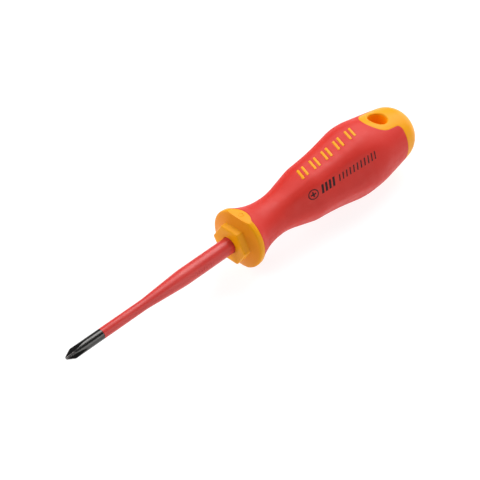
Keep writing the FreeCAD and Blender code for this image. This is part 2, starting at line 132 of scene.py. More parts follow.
# Bolster and guard
BOLSTER_APOTHEM = 7.2
BOLSTER_ROUNDING = 0.9
GUARD_FOOT_X, GUARD_FOOT_RADIUS = 82.1, 6.5
GUARD_EDGE_X, GUARD_EDGE_RADIUS = 84.0, 11.5
GUARD_RADIUS = 12.3
GUARD_RIM_END = 85.3
TONGUE = 2.0
RING_X, RING_RADIUS, RING_HALF_WIDTH, RING_PROUD = 86.3, 0.95, 0.2, 0.12
MOUTH_RADIUS, MOUTH_DEPTH = 3.4, 0.3
MOUTH_FLOOR_BEND, MOUTH_EDGE_BEND = 0.1, 0.18
BOLSTER_BEND, GUARD_FACE_BEND = 0.5, 0.5
GUARD_RIM_X, GUARD_RIM_BEND = GUARD_EDGE_X + 0.35, 0.75
GUARD_BACK_X, GUARD_BACK_BEND = GUARD_RIM_END + 0.2, 1.6
GUARD_SEAM_RISE, GUARD_SEAM_BEND = 0.06, 0.3
FLAT_UPRIGHT_LIMIT = 0.5

# Blade and sleeve
SLEEVE_RADIUS = 3.3
SLEEVE_CLEARANCE = 0.02
SLEEVE_EDGE_BEND, TAPER_BEND = 0.15, 60
SLEEVE_SLIM_RADIUS = 1.5
RIBS, RIBS_START, RIB_PITCH = 7, 60.2, 1.2
RIB_ANGLE, RIB_HALF_SPREAD = math.radians(80), math.radians(17)
RIB_HALF_WIDTH, RIB_PROUD = 0.3, 0.12
TAPER_START, TAPER_END = 36.5, 55.0
SLIM_END, SHANK_START = 38.0, 56.0
COLLAR_START, COLLAR_END = 95.0, 97.5
BLADE_RADIUS = 2.05
TIP_FLAT_RADIUS = 0.6
POINT_ANGLE = math.radians(26.5)
FLUTE_ROOT = 0.48
FLUTE_CUTTER_RADIUS = 23.0
FLUTE_TURN = math.radians(-7)
FLUTE_BLEND = 0.04
CONE_BLEND = 0.2
FLUTE_OPEN_LIMIT = 0.02
TIP_FLAT_ROWS = (0.5, 0.85)
POINT_FIRST_ROW = 0.04
POINT_START, POINT_END, POINT_ROWS = 0.1, 9.5, 64
BAR_START, BAR_ROWS = 10.5, 7

# Print on the grip: where it starts and lies, its thickness, and its strokes
INK_X, INK_ANGLE = 117.6, math.radians(52)
INK_TOP, INK_ROOT = 0.012, 0.05
SYMBOL_OUTSIDE, SYMBOL_INSIDE = 2.35, 1.9
CROSS_REACH, CROSS_HALF_WIDTH = 1.25, 0.32
BOLD_START, BOLD_PITCH, BOLD_STROKES = 3.6, 2.0, 4
BOLD_HEIGHT, BOLD_WIDTH, BOLD_LEAN = 3.7, 1.15, 1.0
TICK_START, TICK_PITCH, TICKS = 13.2, 1.85, 11
TICK_HEIGHT, TICK_WIDTH, TICK_LEAN = 2.7, 0.6, 0.75
STROKE_CORNER = 0.08

# Meshes: the radius at which an angle is unrolled to a length, the distance in metres at which points are
# welded, the side where each turn starts and ends, how far inner points keep from an edge as a share of
# their spacing, how much of a side a rounded corner may take, and how fine each part is
MEAN_RADIUS = 13.0
WELD = 2e-7
SEAM_ANGLE = QUARTER
EDGE_CLEARANCE = 0.55
CORNER_SHARE = 0.49
PLAN_PASSES = 6
SEAM_STEP = 0.3
GRIP_SPACING = 0.6
HIDDEN_SPACING = 2.5
INK_SPACING = 0.5
TURN_STEPS = 360
BLADE_TURN_STEPS = 192
SLEEVE_TURN_STEPS, SLEEVE_BEND_STEPS = 96, 8
ROLL_STEPS = 4
CORNER_STEPS = 4
DOME_STEPS = 14
HOLE_STEPS, RIM_STEPS, BORE_STEPS = 120, 6, 8
RING_STEPS, RING_TILT_STEPS = 48, 12
RIB_STEPS, RIB_TILT_STEPS = 12, 8
SYMBOL_STEPS = 48

# Colours of the moulded pieces: the two that drift, and the paler one of a rub. The deeper orange of the
# guard's face is painted shade; it fades in and out between pairs of places along X, in metres.
RED = ((0.66, 0.027, 0.016), (0.61, 0.022, 0.014), (0.74, 0.10, 0.08))
SLEEVE_RED = ((0.68, 0.050, 0.042), (0.62, 0.042, 0.036), (0.73, 0.11, 0.09))
YELLOW = ((0.89, 0.365, 0.001), (0.85, 0.335, 0.001), (0.95, 0.43, 0.01))
GUARD_FACE_PAINTED_SHADE = (0.82, 0.26, 0.001)
GUARD_PAINTED_SHADE_START, GUARD_PAINTED_SHADE_END = (0.0821, 0.0827), (0.0838, 0.0846)
# Painted light: the hole's wall is a brighter orange than the yellow plastic, to stand in for the light
# inside the hole.
BORE_PAINTED_LIGHT_ORANGE = ((0.97, 0.35, 0.001), (0.94, 0.32, 0.001), (0.97, 0.38, 0.01))
IVORY = ((0.75, 0.72, 0.62), (0.68, 0.65, 0.56), (0.8, 0.78, 0.7))
INK = ((0.035, 0.008, 0.010), (0.022, 0.007, 0.009), (0.25, 0.02, 0.02))

# Steel: its two drifting colours, the worn one, and the bright one of the wings, which is worn oxide and
# painted highlight. A wing shows bright where it comes this near to the cone, as shares of the cone's radius,
# and the wear and painted highlight fade out along X, in metres.
STEEL = ((0.036, 0.035, 0.033), (0.052, 0.050, 0.047))
WORN_STEEL = (0.2, 0.18, 0.17)
WING_WEAR_AND_HIGHLIGHT_STEEL = (0.36, 0.33, 0.32)
LAND_SHARE = (0.9, 0.96)
WING_WEAR_AND_HIGHLIGHT_FADE = (0.003, 0.0045)

# Studio. Each softbox has its direction from the tool, its two sides in metres and its power in watts. The
# other lengths are in metres too, except the camera's, which are in millimetres.
SOFTBOXES = [
    ("top_back_softbox", (0.7, 0.3, 1.0), (0.64, 0.64), 7.7),
    ("top_front_softbox", (-0.7, 0.3, 1.0), (0.6, 0.6), 2.0),
    ("right_softbox", (0.2, -0.85, 0.25), (0.5, 0.5), 1.9),
    ("left_softbox", (-0.52, 0.74, 0.43), (0.3, 0.4), 3.2),
    ("back_softbox", (0.85, 0.0, 0.3), (0.5, 0.5), 1.9),
    ("front_softbox", (-1.0, 0.07, 0.2), (0.3, 0.3), 0.2),
]
SOFTBOX_DISTANCE = 0.9
WORLD_STRENGTH = 0.08
FLOOR_HALF_SIDE, FLOOR_DROP = 3.0, 0.0004
FLOOR_GLOW = 0.87
FLOOR_GREYS = ((0.21, 0.21, 0.21), (0.23, 0.23, 0.23))
CAMERA_AZIMUTH, CAMERA_ELEVATION, CAMERA_ROLL = (math.radians(angle) for angle in (-45.686, 41.661, -0.562))
CAMERA_TARGET, CAMERA_DISTANCE = (84.58, -1.0, 0.14), 500.3


# Shape functions -----------------------------------------------------------------------------------------

def outline_radius(outline, x):
    """Radius of an outline at each x, held at its ends beyond them."""
    start_radius, stations = outline
    places = np.array([place for place, _ in stations])
    slopes = np.radians([slope for _, slope in stations])
    lengths = np.diff(places)
    steps = lengths * np.tan((slopes[1:] + slopes[:-1]) / 2)
    radii = start_radius + np.concatenate([[0], np.cumsum(steps)])
    inside = np.clip(np.asarray(x, float), places[0], places[-1])
    span = np.clip(np.searchsorted(places, inside, side="right") - 1, 0, len(lengths) - 1)
    along = inside - places[span]
    sine_step = np.sin(slopes[span + 1]) - np.sin(slopes[span])
    straight = np.abs(sine_step) < 1e-9
    bend = lengths[span] / np.where(straight, 1, sine_step)
    sine = np.sin(slopes[span]) + sine_step * along / lengths[span]
    arc = bend * (np.cos(slopes[span]) - np.sqrt(1 - sine ** 2))
    return radii[span] + np.where(straight, along * np.tan(slopes[span]), arc)


def soft_min(first, second, blend):
    """Smaller of two distances, rounded off where they are close."""
    share = np.clip(0.5 + 0.5 * (second - first) / blend, 0, 1)
    return second + (first - second) * share - blend * share * (1 - share)


def polygon_radius(apothem, angle, count, rounding=0.0):
    """Radius of a regular polygon with one side facing up, its corners rounded to an arc."""
    step = TURN / count
    from_side = np.abs((angle + step / 2) % step - step / 2)
    flat = apothem / np.cos(from_side)
    if rounding == 0:
        return flat
    centre = (apothem - rounding) / math.cos(step / 2)
    from_corner = step / 2 - from_side
    reach = np.sqrt(np.maximum(rounding ** 2 - (centre * np.sin(from_corner)) ** 2, 0))
    corner_starts = math.atan2(centre * math.sin(step / 2), apothem)
    return np.where(from_side > corner_starts, centre * np.cos(from_corner) + reach, flat)


def flattened(radius, angle):
    """Radius cut down to the two flats of the guard, above and below."""
    upright = np.maximum(np.abs(np.cos(angle)), FLAT_UPRIGHT_LIMIT)
    return soft_min(radius, FLAT_HEIGHT / upright, FLAT_BLEND)


def outer_radius(x, angle):
    """Outside of the grip, which the surround of the hole and the cap carry on."""
    x = np.asarray(x, float)
    apothem = outline_radius(FACET, x) + FACET_RUN_OUT * np.clip(FACET[1][0][0] - x, 0, None)
    faceted = soft_min(outline_radius(RIDGE, x), polygon_radius(apothem, angle, FACETS), FACET_BLEND)
    return np.where(x < GRIP_FRONT + FLAT_REACH, flattened(faceted, angle), faceted)


def spine_radius(x, angle):
    """Seat of the grip on the yellow spine."""
    return outline_radius(SPINE, x) + 0 * angle


def place(x, radius, angle):
    """Points in metres, in the CAD's frame."""
    x, radius, angle = np.broadcast_arrays(x, radius, angle)
    return np.stack([x, -radius * np.sin(angle), radius * np.cos(angle)], -1) * MM


def outside(lift=0.0):
    """Surface that follows the handle's outside at a height above it."""
    return lambda x, angle: place(x, outer_radius(x, angle) + lift, angle)


def on_spine(x, angle):
    """Points on the seat of the grip."""
    return place(x, spine_radius(x, angle), angle)


def plan_angle(x, across, under=False):
    """Angle on the handle's outside that lies at a distance across the axis in plan view."""
    radius = outer_radius(x, np.zeros_like(x))
    for _ in range(PLAN_PASSES):
        angle = -np.arcsin(across / radius)
        radius = outer_radius(x, angle)
    return math.pi - angle if under else angle


# Mesh building -------------------------------------------------------------------------------------------

class Piece:
    """Patches of one piece, which are welded into a closed mesh."""

    def __init__(self):
        self.points = []
        self.faces = []
        self.slots = []
        self.slot = 0
        self.count = 0

    def add(self, points, faces):
        """Take in points, and faces that count from the first of them."""
        self.points.append(np.asarray(points, float).reshape(-1, 3))
        self.faces.extend([tuple(self.count + corner for corner in face) for face in faces])
        self.slots.extend([self.slot] * len(faces))
        self.count += len(self.points[-1])

    def ribbon(self, rows, closed=False):
        """Quads between rows of points. A closed ribbon joins each row's last point to its first."""
        rows = np.array(rows)
        height, width = rows.shape[:2]
        across = width if closed else width - 1
        faces = []
        for row in range(height - 1):
            for column in range(across):
                after = (column + 1) % width
                low, high = row * width, (row + 1) * width
                faces.append((low + column, low + after, high + after, high + column))
        self.add(rows, faces)

    def patch(self, outline, windows, spacing, surface):
        """Fill an outline on the (x, angle) plane, less its windows, with triangles on a surface."""
        scale = np.array([1.0, MEAN_RADIUS])
        loops = [counter_clockwise(loop * scale) for loop in (outline, *windows)]
        edge = np.concatenate(loops)
        low, high = loops[0].min(0), loops[0].max(0)
        counts = np.ceil((high - low) / spacing).astype(int)
        axes = [low[i] + (high[i] - low[i]) * np.arange(1, counts[i]) / counts[i] for i in (0, 1)]
        inner = np.stack(np.meshgrid(*axes, indexing="ij"), -1).reshape(-1, 2)
        tree = KDTree(len(edge))
        for index, point in enumerate(edge):
            tree.insert((*point, 0), index)
        tree.balance()
        inner = [point for point in inner if tree.find((*point, 0))[2] > EDGE_CLEARANCE * spacing]
        coordinates = [Vector(point) for point in (*edge, *inner)]
        starts = np.cumsum([0] + [len(loop) for loop in loops])
        rings = [list(range(a, b)) for a, b in zip(starts, starts[1:])]
        points, _, faces, _, _, inside = delaunay_2d_cdt(coordinates, [], rings, 0, 1e-7, True)
        flat = np.array(points) / scale
        kept = [face for face, owners in zip(faces, inside) if list(owners) == [0]]
        self.add(surface(flat[:, 0], flat[:, 1]), kept)

    def make(self, name, *materials, sharp=35):
        """Weld the patches, shade them smooth but for sharp edges, and put the piece on the body."""
        mesh = bpy.data.meshes.new(name)
        mesh.from_pydata(np.concatenate(self.points).tolist(), [], self.faces)
        mesh.polygons.foreach_set("material_index", self.slots)
        work = bmesh.new()
        work.from_mesh(mesh)
        bmesh.ops.remove_doubles(work, verts=work.verts, dist=WELD)
        loose = [vertex for vertex in work.verts if not vertex.link_faces]
        bmesh.ops.delete(work, geom=loose, context="VERTS")
        bmesh.ops.recalc_face_normals(work, faces=work.faces)
        open_edges = sum(not edge.is_manifold for edge in work.edges)
        if open_edges:
            print(f"{name}: {open_edges} open or shared edges")
        work.to_mesh(mesh)
        work.free()
        mesh.polygons.foreach_set("use_smooth", [True] * len(mesh.polygons))
        mesh.set_sharp_from_angle(angle=math.radians(sharp))
        for material in materials:
            mesh.materials.append(material)
        piece = bpy.data.objects.new(name, mesh)
        bpy.context.scene.collection.objects.link(piece)
        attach(piece, "root")
        return piece


def counter_clockwise(loop):
    """The same loop, turned round if it runs clockwise."""
    x, up = loop.T
    area = np.sum(x * np.roll(up, -1) - np.roll(x, -1) * up)
    return loop if area > 0 else loop[::-1]


def ring_angles(count):
    """Evenly spaced angles of a closed ring."""
    return TURN * np.arange(count) / count


def around(count):
    """Angles of one full turn, from the -Y side and back to it."""
    return SEAM_ANGLE - TURN + TURN * np.arange(count + 1) / count


def arc_points(centre, radius, start, end, step):
    """Points of an arc in the plane, from one angle to another."""
    count = max(2, math.ceil(abs(end - start) * radius / step))
    angles = np.linspace(start, end, count + 1)
    return np.stack([centre[0] + radius * np.cos(angles), centre[1] + radius * np.sin(angles)], -1)


def shifted(curve, distance, closed):
    """A curve in (x, angle) moved sideways on the surface, to its left."""
    radius = outer_radius(curve[:, 0], curve[:, 1])
    if closed:
        step = np.roll(curve, -1, 0) - np.roll(curve, 1, 0)
    else:
        step = np.gradient(curve, axis=0)
    step = step * np.stack([np.ones(len(curve)), radius], -1)
    step = step / np.linalg.norm(step, axis=1)[:, None]
    return curve + distance * np.stack([-step[:, 1], step[:, 0] / radius], -1)


def rolled_edge(curve, side, roll, closed, foot, lift=0.0):
    """Rows from the foot of a wall up and over a rounded edge, and the curve where the edge ends."""
    x, angle = curve.T
    rows = [place(x, foot(x, angle), angle)]
    for turn in np.linspace(0, QUARTER, ROLL_STEPS + 1):
        line = shifted(curve, side * roll * (1 - math.cos(turn)), closed)
        top = outer_radius(*line.T) + lift - roll * (1 - math.sin(turn))
        rows.append(place(line[:, 0], top, line[:, 1]))
    return rows, line


def bezier_corner(before, corner, after, bend, steps):
    """Rounded corner of a profile, one for each angle, as a cubic close to an arc of that bend."""
    back = before - corner
    ahead = after - corner
    back_length = np.linalg.norm(back, axis=-1, keepdims=True)
    ahead_length = np.linalg.norm(ahead, axis=-1, keepdims=True)
    back, ahead = back / back_length, ahead / ahead_length
    cosine = np.clip((back * ahead).sum(-1, keepdims=True), -0.999, 0.999)
    turning = math.pi - np.arccos(cosine)
    reach = np.minimum(bend * np.tan(turning / 2), CORNER_SHARE * np.minimum(back_length, ahead_length))
    handle = 4 / 3 * np.tan(turning / 4) / np.tan(turning / 2) * reach
    ends = [corner + back * reach, corner + back * (reach - handle),
            corner + ahead * (reach - handle), corner + ahead * reach]
    points = []
    for t in np.linspace(0, 1, steps + 1):
        weights = [(1 - t) ** 3, 3 * t * (1 - t) ** 2, 3 * t ** 2 * (1 - t), t ** 3]
        points.append(sum(weight * end for weight, end in zip(weights, ends)))
    return points


def turned_profile(corners, angles, steps=5):
    """Rows of points for a profile of (x, radius, bend) corners, whose radii may change with the angle."""
    flat = [np.stack([x + 0 * angles, radius + 0 * angles], -1) for x, radius, *_ in corners]
    rows = []
    for index, (_, _, *bend) in enumerate(corners):
        if bend and 0 < index < len(corners) - 1:
            rows += bezier_corner(flat[index - 1], flat[index], flat[index + 1], bend[0], steps)
        else:
            rows.append(flat[index])
    return rows


# The handle's parting lines ------------------------------------------------------------------------------

def boss_curve(under):
    """Front edge of the hole's surround, with the two fillets that run into the edge of the cap."""
    rear = GRIP_REAR - BOSS_FILLET
    out = BOSS_RADIUS + BOSS_FILLET
    side = np.arange(rear, BOSS_CENTRE, -SEAM_STEP)[1:, None]
    first = arc_points((rear, out), BOSS_FILLET, 0, -QUARTER, SEAM_STEP)
    nose = arc_points((BOSS_CENTRE, 0), BOSS_RADIUS, QUARTER, 3 * QUARTER, SEAM_STEP)
    last = arc_points((rear, -out), BOSS_FILLET, QUARTER, 0, SEAM_STEP)
    plan = np.concatenate([first, side * [1, 0] + [0, BOSS_RADIUS], nose,
                           side[::-1] * [1, 0] - [0, BOSS_RADIUS], last])
    angle = plan_angle(plan[:, 0], plan[:, 1], under)
    curve = np.stack([plan[:, 0], angle], -1)
    return curve[::-1] if under else curve


def straight_seam(start, end, x):
    """Part of a circle round the handle, from one angle to another."""
    count = math.ceil((end - start) * MEAN_RADIUS / SEAM_STEP)
    angles = np.linspace(start, end, count + 1)
    return np.stack([np.full(count + 1, x), angles], -1)


def front_seam():
    """Front edge of the grip: a circle that bows back round the yellow tongue under each guard flat."""
    angles = around(TURN_STEPS)
    half = math.sqrt(RIDGE[0] ** 2 - FLAT_HEIGHT ** 2)
    bow = (half ** 2 + TONGUE ** 2) / (2 * TONGUE)
    off = (angles + QUARTER) % (2 * QUARTER) - QUARTER
    across = np.clip(FLAT_HEIGHT * np.abs(np.tan(off)), 0, half)
    return np.stack([GRIP_FRONT + TONGUE - bow + np.sqrt(bow ** 2 - across ** 2), angles], -1)


def cap_seam():
    """Line where the red grip ends at the yellow cap and the two surrounds, once round the handle."""
    below = boss_curve(under=True) - [0, TURN]
    above = boss_curve(under=False)
    start = SEAM_ANGLE - TURN
    parts = [straight_seam(start, below[0, 1], GRIP_REAR)[:-1], below,
             straight_seam(below[-1, 1], above[0, 1], GRIP_REAR)[1:-1], above,
             straight_seam(above[-1, 1], SEAM_ANGLE, GRIP_REAR)[1:]]
    return np.concatenate(parts)


def bar_curves():
    """Outlines of the raised bars in (x, angle), each with rounded corners."""
    curves = []
    for group in range(MARK_GROUPS):
        for bar in range(MARK_BARS):
            low = MARK_START + group * MARK_GROUP_PITCH + bar * MARK_BAR_PITCH
            high = low + BAR_LEAN
            corners = [(low, -BAR_HALF_HEIGHT), (low + BAR_WIDTH, -BAR_HALF_HEIGHT),
                       (high + BAR_WIDTH, BAR_HALF_HEIGHT), (high, BAR_HALF_HEIGHT)]
            plan = rounded_loop(corners, BAR_CORNER, SEAM_STEP)
            curves.append(np.stack([plan[:, 0], plan_angle(plan[:, 0], plan[:, 1])], -1)[::-1])
    return curves


def rounded_loop(corners, bend, step):
    """Closed loop of points round a polygon, counter-clockwise, with its corners rounded."""
    corners = np.array(corners, float)
    points = []
    for before, corner, after in zip(np.roll(corners, 1, 0), corners, np.roll(corners, -1, 0)):
        back = (before - corner) / np.linalg.norm(before - corner)
        ahead = (after - corner) / np.linalg.norm(after - corner)
        half = math.acos(np.clip(back @ ahead, -1, 1)) / 2
        inward = (back + ahead) / np.linalg.norm(back + ahead)
        centre = corner + inward * bend / math.sin(half)
        start = corner + back * bend / math.tan(half) - centre
        turn = math.pi - 2 * half
        angles = math.atan2(start[1], start[0]) + np.linspace(0, turn, CORNER_STEPS + 1)
        points += [centre + bend * np.array([math.cos(a), math.sin(a)]) for a in angles]
    loop = []
    for point, following in zip(points, points[1:] + points[:1]):
        count = max(1, math.ceil(np.linalg.norm(following - point) / step))
        loop += [point + (following - point) * part / count for part in range(count)]
    return np.array(loop)


def hole_ring(reach):
    """Plan of a circle round the middle of the hole, as places along and across the handle."""
    angles = ring_angles(HOLE_STEPS)
    return HOLE_X + reach * np.cos(angles), reach * np.sin(angles)


def hole_curve(under):
    """Outer edge of the hole's rounded rim."""
    x, across = hole_ring(HOLE_RADIUS + HOLE_RIM)
    return np.stack([x, plan_angle(x, across, under) - (TURN if under else 0)], -1)


# Pieces --------------------------------------------------------------------------------------------------

def make_grip(material):
    """Red moulding: faceted outside, seat on the spine, and the walls of its windows."""
    piece = Piece()
    front, seam = front_seam(), cap_seam()
    bars = bar_curves()
    edges = [rolled_edge(front, -1, SEAM_ROLL, False, spine_radius),
             rolled_edge(seam, 1, SEAM_ROLL, False, spine_radius)]
    edges += [rolled_edge(bar, -1, SEAM_ROLL, True, spine_radius) for bar in bars]
    for index, (rows, _) in enumerate(edges):
        piece.ribbon(rows, closed=index >= 2)
    tops = [line for _, line in edges]
    piece.patch(closed_outline(tops[0], tops[1], GRIP_SPACING), tops[2:], GRIP_SPACING, outside())
    piece.patch(closed_outline(front, seam, HIDDEN_SPACING), bars, HIDDEN_SPACING, on_spine)
    return piece.make("soft_grip", material)


def closed_outline(front, rear, spacing):
    """Outline of an unrolled stretch of the handle between two lines that go once round it."""
    start = np.array([front[0, 0], rear[0, 0]])
    count = math.ceil((start[1] - start[0]) / spacing)
    x = np.linspace(*start, count + 1)[1:-1]
    low = np.stack([x, np.full(len(x), front[0, 1])], -1)
    high = np.stack([x[::-1], np.full(len(x), front[-1, 1])], -1)
    return np.concatenate([front[::-1], low, rear, high])


def make_handle(material, bore_painted_light_material):
    """Yellow moulding: bolster, guard, spine, raised bars, surround of the hole and cap."""
    piece = Piece()
    add_bolster_and_guard(piece)
    front, seam = front_seam(), cap_seam()
    bars = bar_curves()
    piece.patch(closed_outline(front, seam, HIDDEN_SPACING), bars, HIDDEN_SPACING, on_spine)
    for bar in bars:
        rows, top = rolled_edge(bar, 1, BAR_ROLL, True, spine_radius, BAR_PROUD)
        piece.ribbon(rows, closed=True)
        piece.patch(top, [], BAR_WIDTH, outside(BAR_PROUD))
    add_cap(piece, seam)
    return piece.make("yellow_handle", material, bore_painted_light_material)


def add_bolster_and_guard(piece):
    """From the space for the tang core, out of the mouth and over the hexagon and the guard to the grip."""
    angles = around(TURN_STEPS)
    core = polygon_radius(CORE_APOTHEM, angles, FACETS)
    bolster = polygon_radius(BOLSTER_APOTHEM, angles, FACETS, BOLSTER_ROUNDING)
    cone = (GUARD_EDGE_RADIUS - GUARD_FOOT_RADIUS) / (GUARD_EDGE_X - GUARD_FOOT_X)
    foot_x = GUARD_FOOT_X + (bolster - GUARD_FOOT_RADIUS) / cone
    mouth_floor = BOLSTER_FRONT + MOUTH_DEPTH
    bore = SLEEVE_RADIUS + SLEEVE_CLEARANCE
    seam_x = front_seam()[:, 0]
    front_edge = outer_radius(seam_x, angles)
    rows = turned_profile([
        (CORE_REAR, 0), (CORE_REAR, core), (CORE_FRONT, core), (CORE_FRONT, bore),
        (mouth_floor + MOUTH_RADIUS - SLEEVE_RADIUS, bore), (mouth_floor, MOUTH_RADIUS, MOUTH_FLOOR_BEND),
        (BOLSTER_FRONT, MOUTH_RADIUS, MOUTH_EDGE_BEND), (BOLSTER_FRONT, bolster, BOLSTER_BEND),
        (foot_x, bolster, BOLSTER_BEND), (GUARD_EDGE_X, GUARD_EDGE_RADIUS, GUARD_FACE_BEND),
        (GUARD_RIM_X, GUARD_RADIUS, GUARD_RIM_BEND), (GUARD_BACK_X, GUARD_RADIUS, GUARD_BACK_BEND),
        (seam_x - SEAM_ROLL, front_edge + GUARD_SEAM_RISE, GUARD_SEAM_BEND),
        (seam_x, front_edge - SEAM_ROLL)], angles)
    surface = []
    for x, radius in (row.T for row in rows):
        guard = x > mouth_floor
        surface.append(place(x, np.where(guard, flattened(radius, angles), radius), angles))
    surface.append(place(seam_x, spine_radius(seam_x, angles), angles))
    piece.ribbon(surface)
    add_ring(piece)


def add_ring(piece):
    """Plain raised ring on the upper guard flat."""
    spots = ring_angles(RING_STEPS)
    rows = []
    for tilt in TURN * np.arange(RING_TILT_STEPS + 1) / RING_TILT_STEPS:
        reach = RING_RADIUS + RING_HALF_WIDTH * math.cos(tilt)
        height = FLAT_HEIGHT + RING_PROUD * math.sin(tilt) + 0 * spots
        rows.append(np.stack([RING_X + reach * np.cos(spots), reach * np.sin(spots), height], -1) * MM)
    piece.ribbon(rows, closed=True)


def add_cap(piece, seam):
    """Yellow end: the surround of the hole above and below, the dome and the hole."""
    rows, start = rolled_edge(seam, -1, SEAM_ROLL, False, spine_radius)
    piece.ribbon(rows)
    brim = np.stack([np.full(TURN_STEPS + 1, BRIM_X), around(TURN_STEPS)], -1)
    holes = [hole_curve(False), hole_curve(True)]
    piece.patch(closed_outline(start, brim, GRIP_SPACING), holes, GRIP_SPACING, outside())
    add_dome(piece, brim[:, 1])
    add_hole(piece)


def add_dome(piece, angles):
    """Back of the cap: round its shoulder to the crown, and over a sphere to the axis."""
    crown_radius = float(outline_radius(RIDGE, CROWN_X))
    crown_slope = math.radians(RIDGE[1][-1][1])
    dome_radius = crown_radius / math.cos(crown_slope)
    dome_centre = CROWN_X + crown_radius * math.tan(crown_slope)
    brim_x = np.linspace(BRIM_X, CROWN_X, DOME_STEPS + 1)
    rings = [outside()(x, angles) for x in brim_x]
    for tilt in np.linspace(QUARTER + crown_slope, 0, DOME_STEPS + 1)[1:]:
        rings.append(place(dome_centre + dome_radius * math.cos(tilt), dome_radius * math.sin(tilt), angles))
    piece.ribbon(rings)


def add_hole(piece):
    """Rounded rims above and below, and the wall between them in a material of its own, whose brighter orange
    and glow are painted light.
    """
    walls = []
    for side in (1, -1):
        rim = []
        for turn in np.linspace(0, QUARTER, RIM_STEPS + 1):
            reach = HOLE_RADIUS + HOLE_RIM * (1 - math.sin(turn))
            x, across = hole_ring(reach)
            top = outer_radius(x, plan_angle(x, across))
            height = np.sqrt(top ** 2 - across ** 2) - HOLE_RIM * (1 - math.cos(turn))
            rim.append(np.stack([x, across, side * height], -1) * MM)
        piece.ribbon(rim, closed=True)
        walls.append(rim[-1])
    bore = [walls[0] + (walls[1] - walls[0]) * part for part in np.linspace(0, 1, BORE_STEPS + 1)]
    # The wall takes the bore material, whose brighter orange and faint glow are painted light.
    piece.slot = 1
    piece.ribbon(bore, closed=True)


def make_sleeve(material):
    """Red sleeve on the blade, soft at its front edge, with a collar that the tang core grips."""
    piece = Piece()
    angles = around(SLEEVE_TURN_STEPS)
    rows = turned_profile([
        (SHANK_START, SHANK_RADIUS), (SLIM_END, SLEEVE_SLIM_RADIUS), (SLEEVE_FRONT, SLEEVE_SLIM_RADIUS),
        (SLEEVE_FRONT, BLADE_RADIUS, SLEEVE_EDGE_BEND), (TAPER_START, BLADE_RADIUS, TAPER_BEND),
        (TAPER_END, SLEEVE_RADIUS, TAPER_BEND), (COLLAR_START, SLEEVE_RADIUS), (COLLAR_START, COLLAR_RADIUS),
        (COLLAR_END, COLLAR_RADIUS), (COLLAR_END, SLEEVE_RADIUS), (SLEEVE_REAR, SLEEVE_RADIUS),
        (SLEEVE_REAR, SHANK_RADIUS), (SHANK_START, SHANK_RADIUS)], angles, steps=SLEEVE_BEND_STEPS)
    piece.ribbon([place(*row.T, angles) for row in rows])
    for step in range(RIBS):
        add_rib(piece, RIBS_START + step * RIB_PITCH)
    return piece.make("blade_sleeve", material)


def add_rib(piece, middle):
    """Low raised dash across the sleeve: an ellipsoid sunk to half its height."""
    spots = ring_angles(RIB_STEPS)
    rows = []
    for tilt in np.linspace(0, math.pi, RIB_TILT_STEPS + 1):
        radius = SLEEVE_RADIUS + RIB_PROUD * math.sin(tilt) * np.sin(spots)
        angle = RIB_ANGLE + RIB_HALF_SPREAD * math.sin(tilt) * np.cos(spots)
        rows.append(place(middle + RIB_HALF_WIDTH * math.cos(tilt), radius, angle))
    piece.ribbon(rows, closed=True)


def blade_radius_at(x, angles):
    """Outside of the steel point: a cone, a round bar and four flutes that a wheel has cut."""
    cone = TIP_FLAT_RADIUS + x * math.tan(POINT_ANGLE)
    bar = soft_min(cone, BLADE_RADIUS, CONE_BLEND)
    vertex = FLUTE_ROOT + FLUTE_CUTTER_RADIUS - math.sqrt(FLUTE_CUTTER_RADIUS ** 2 - x ** 2)
    off_centre = (angles - FLUTE_TURN + QUARTER / 2) % QUARTER - QUARTER / 2
    open_width = np.maximum(np.cos(off_centre) - np.sin(np.abs(off_centre)), FLUTE_OPEN_LIMIT)
    return soft_min(bar, vertex / open_width, FLUTE_BLEND)


def make_blade(material):
    """Blackened steel point that runs back into the sleeve; behind it the bar is plain."""
    piece = Piece()
    angles = around(BLADE_TURN_STEPS)
    rows = [place(np.array(0.0), 0 * angles, angles)]
    rows += [place(np.array(0.0), part * blade_radius_at(0.0, angles), angles) for part in TIP_FLAT_ROWS]
    for x in np.concatenate([[POINT_FIRST_ROW], np.linspace(POINT_START, POINT_END, POINT_ROWS),
                             np.linspace(BAR_START, SLEEVE_FRONT, BAR_ROWS)]):
        rows.append(place(np.array(x), blade_radius_at(x, angles), angles))
    rows += [place(*row.T, angles) for row in turned_profile([
        (SLEEVE_FRONT, SLEEVE_SLIM_RADIUS), (SLIM_END, SLEEVE_SLIM_RADIUS), (SHANK_START, SHANK_RADIUS),
        (BLADE_END, SHANK_RADIUS), (BLADE_END, 0)], angles)]
    piece.ribbon(rows)
    return piece.make("steel_blade", material)


def make_print(material):
    """Plain ink mark on a facet: a cross-recess symbol, bold strokes and fine ticks, as thin slabs."""
    shapes = [[circle_loop(SYMBOL_OUTSIDE), circle_loop(SYMBOL_INSIDE)],
              [cross_loop(CROSS_REACH, CROSS_HALF_WIDTH)]]
    shapes += [[stroke_loop(BOLD_START + step * BOLD_PITCH, BOLD_HEIGHT, BOLD_WIDTH, BOLD_LEAN)]
               for step in range(BOLD_STROKES)]
    shapes += [[stroke_loop(TICK_START + step * TICK_PITCH, TICK_HEIGHT, TICK_WIDTH, TICK_LEAN)]
               for step in range(TICKS)]
    piece = Piece()
    for loops in shapes:
        curves = [on_facet(loop) for loop in loops]
        for lift in (INK_TOP, -INK_ROOT):
            piece.patch(curves[0], curves[1:], INK_SPACING, outside(lift))
        for curve in curves:
            piece.ribbon([outside(lift)(*curve.T) for lift in (INK_TOP, -INK_ROOT)], closed=True)
    return piece.make("grip_print", material)


def on_facet(loop):
    """Carry a flat outline of (along, up) to (x, angle) beside the middle of the print."""
    return np.stack([INK_X + loop[:, 0], INK_ANGLE - loop[:, 1] / MEAN_RADIUS], -1)


def circle_loop(radius):
    """Circle round the start of the print."""
    angles = ring_angles(SYMBOL_STEPS)
    return np.stack([radius * np.cos(angles), radius * np.sin(angles)], -1)


